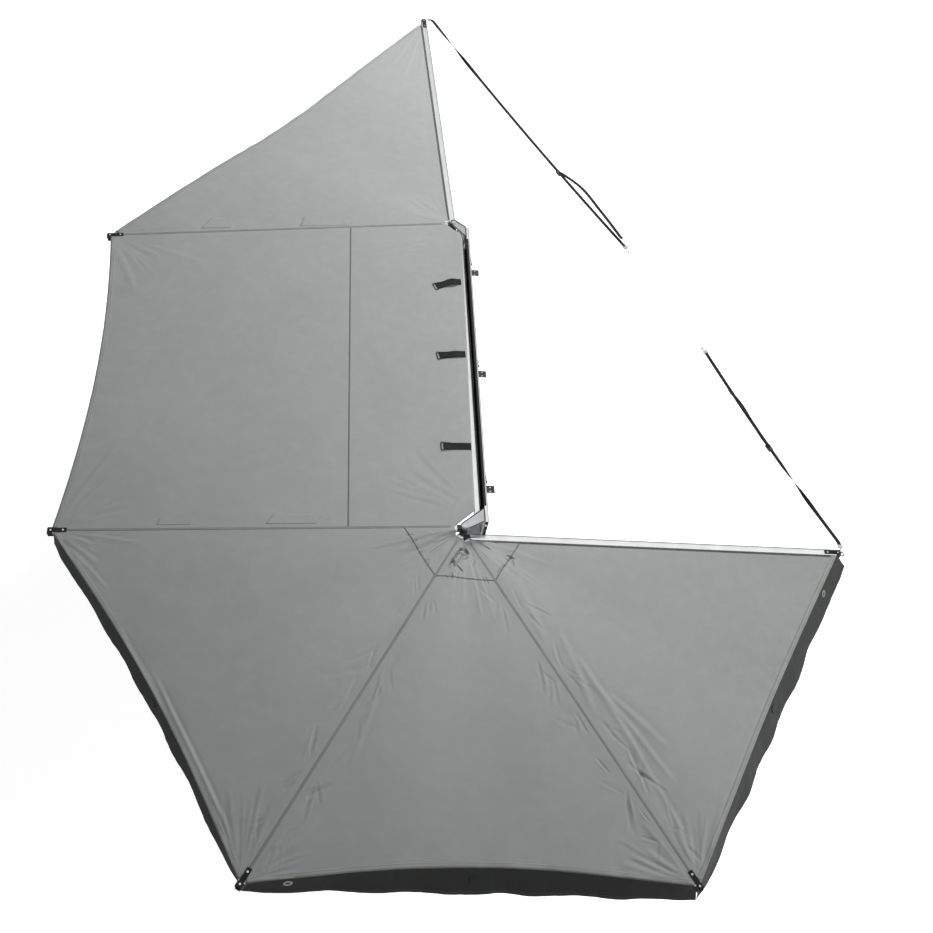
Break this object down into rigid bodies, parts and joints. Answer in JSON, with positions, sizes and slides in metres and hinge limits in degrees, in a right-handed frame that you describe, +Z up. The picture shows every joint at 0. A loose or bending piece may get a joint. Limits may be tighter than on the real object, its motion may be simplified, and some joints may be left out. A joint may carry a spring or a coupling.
{
  "type": "vehicle side awning",
  "caption": "Fold-out side awning for a vehicle roof rack: fan of aluminium arms under taut grey cloth, telescopic legs, hanging rear valance and webbing guys.",
  "frame": {"origin": "centre of the underside of the middle mounting bracket's foot, where it sits on a roof rack bar", "axes": "+X towards the vehicle, so the canopy spreads to -X; +Y towards the vehicle's front; +Z up"},
  "size_m": [4.7688, 6.9821, 0.2847],
  "materials": {
    "aluminium_extrusion": "bright satin anodised extrusion",
    "hub_aluminium": "brushed cut plate",
    "leg_aluminium": "satin anodised tube",
    "zinc_steel": "bright zinc plate",
    "black_steel": "black powder coat",
    "black_plastic": "moulded nylon",
    "canopy_fabric": "grey coated polyester ripstop",
    "valance_fabric": "charcoal coated polyester",
    "cover_pvc": "black coated PVC cloth",
    "webbing": "black woven polyester webbing"
  },
  "bodies": {
    "rail": {"back_rail": "aluminium_extrusion", "canopy_beam": "aluminium_extrusion", "travel_cover": "cover_pvc", "mount_bracket_rear": "black_steel", "bracket_bolt_rear": "zinc_steel", "mount_bracket_middle": "black_steel", "bracket_bolt_middle": "zinc_steel", "mount_bracket_front": "black_steel", "bracket_bolt_front": "zinc_steel", "rear_hub_bracket": "hub_aluminium", "rear_hub_pin": "zinc_steel", "front_hub_bracket": "hub_aluminium", "front_hub_pin": "zinc_steel", "canopy_side": "canopy_fabric", "storage_strap_rear": "webbing", "storage_ring_rear": "black_plastic", "storage_strap_middle": "webbing", "storage_ring_middle": "black_plastic", "storage_strap_front": "webbing", "storage_ring_front": "black_plastic", "rear_guy_hook": "zinc_steel", "rear_guy_strap": "webbing", "rear_guy_rack_hook": "zinc_steel", "front_guy_hook": "zinc_steel", "front_guy_strap": "webbing", "front_guy_rack_hook": "zinc_steel"},
    "arm_1": {"arm_1_tube": "aluminium_extrusion", "arm_1_knuckle": "black_plastic", "arm_1_tip": "black_plastic", "canopy_rear_left": "canopy_fabric", "valance_rear_left": "valance_fabric"},
    "arm_1_leg": {"arm_1_leg_outer": "leg_aluminium"},
    "arm_1_leg_slide": {"arm_1_leg_inner": "leg_aluminium"},
    "arm_2": {"arm_2_tube": "aluminium_extrusion", "arm_2_knuckle": "black_plastic", "arm_2_tip": "black_plastic", "canopy_rear": "canopy_fabric", "valance_rear": "valance_fabric"},
    "arm_2_leg": {"arm_2_leg_outer": "leg_aluminium"},
    "arm_2_leg_slide": {"arm_2_leg_inner": "leg_aluminium"},
    "arm_3": {"arm_3_tube": "aluminium_extrusion", "arm_3_knuckle": "black_plastic", "arm_3_tip": "black_plastic", "canopy_rear_right": "canopy_fabric", "valance_rear_right": "valance_fabric"},
    "arm_3_leg": {"arm_3_leg_outer": "leg_aluminium"},
    "arm_3_leg_slide": {"arm_3_leg_inner": "leg_aluminium"},
    "arm_4": {"arm_4_tube": "aluminium_extrusion", "arm_4_knuckle": "black_plastic", "arm_4_tip": "black_plastic"},
    "front_side_arm": {"front_side_arm_tube": "aluminium_extrusion", "front_side_arm_knuckle": "black_plastic", "front_side_arm_tip": "black_plastic", "canopy_front": "canopy_fabric"},
    "front_side_arm_leg": {"front_side_arm_leg_outer": "leg_aluminium"},
    "front_side_arm_leg_slide": {"front_side_arm_leg_inner": "leg_aluminium"},
    "front_arm": {"front_arm_tube": "aluminium_extrusion", "front_arm_knuckle": "black_plastic", "front_arm_tip": "black_plastic"}
  },
  "joints": [
    {"name": "rear_fold", "type": "hinge", "parent": "rail", "child": "arm_1", "pos_m": [-0.1813, -1.246, 0.1278], "axis": [0, 0, 1], "range_deg": [-92, 0], "deforming": ["canopy_side", "canopy_rear_left", "canopy_rear", "canopy_rear_right", "valance_rear_left", "valance_rear", "valance_rear_right", "rear_guy_hook", "rear_guy_strap"]},
    {"name": "arm_2_fold", "type": "hinge", "parent": "arm_1", "child": "arm_2", "pos_m": [-0.1813, -1.246, 0.1278], "axis": [0, 0, 1], "range_deg": [-57.5, 0]},
    {"name": "arm_3_fold", "type": "hinge", "parent": "arm_2", "child": "arm_3", "pos_m": [-0.1813, -1.246, 0.1278], "axis": [0, 0, 1], "range_deg": [-59, 0]},
    {"name": "arm_4_fold", "type": "hinge", "parent": "arm_3", "child": "arm_4", "pos_m": [-0.1813, -1.246, 0.1278], "axis": [0, 0, 1], "range_deg": [-60, 0]},
    {"name": "front_fold", "type": "hinge", "parent": "rail", "child": "front_side_arm", "pos_m": [-0.1393, 1.246, 0.1278], "axis": [0, 0, -1], "range_deg": [-83, 0], "deforming": ["canopy_front", "front_guy_hook", "front_guy_strap"]},
    {"name": "front_arm_fold", "type": "hinge", "parent": "front_side_arm", "child": "front_arm", "pos_m": [-0.1393, 1.246, 0.1278], "axis": [0, 0, -1], "range_deg": [-93.5, 0]},
    {"name": "arm_1_leg_swing", "type": "hinge", "parent": "arm_1", "child": "arm_1_leg", "pos_m": [-2.48989, -1.32662, 0.1058], "axis": [-0.0349, 0.9994, 0], "range_deg": [0, 90]},
    {"name": "arm_1_leg_extend", "type": "slide", "parent": "arm_1_leg", "child": "arm_1_leg_slide", "axis": [0.9994, 0.0349, 0], "range_m": [0, 0.95]},
    {"name": "arm_2_leg_swing", "type": "hinge", "parent": "arm_2", "child": "arm_2_leg", "pos_m": [-1.35371, -3.23636, 0.0686], "axis": [-0.8616, 0.5075, 0], "range_deg": [0, 90]},
    {"name": "arm_2_leg_extend", "type": "slide", "parent": "arm_2_leg", "child": "arm_2_leg_slide", "axis": [0.5075, 0.8616, 0], "range_m": [0, 0.95]},
    {"name": "arm_3_leg_swing", "type": "hinge", "parent": "arm_3", "child": "arm_3_leg", "pos_m": [0.92094, -3.27607, 0.0314], "axis": [-0.8788, -0.4772, 0], "range_deg": [0, 90]},
    {"name": "arm_3_leg_extend", "type": "slide", "parent": "arm_3_leg", "child": "arm_3_leg_slide", "axis": [-0.4772, 0.8788, 0], "range_m": [0, 0.95]},
    {"name": "front_side_arm_leg_swing", "type": "hinge", "parent": "front_side_arm", "child": "front_side_arm_leg", "pos_m": [-2.43208, 0.96448, 0.1058], "axis": [-0.1219, 0.9925, 0], "range_deg": [0, 90]},
    {"name": "front_side_arm_leg_extend", "type": "slide", "parent": "front_side_arm_leg", "child": "front_side_arm_leg_slide", "axis": [0.9925, 0.1219, 0], "range_m": [0, 0.95]}
  ],
  "couplings": [
    {"joint": "arm_2_fold", "follows": "rear_fold", "ratio": 0.625},
    {"joint": "arm_3_fold", "follows": "rear_fold", "ratio": 0.6413},
    {"joint": "arm_4_fold", "follows": "rear_fold", "ratio": 0.65217},
    {"joint": "front_arm_fold", "follows": "front_fold", "ratio": 1.1265}
  ]
}
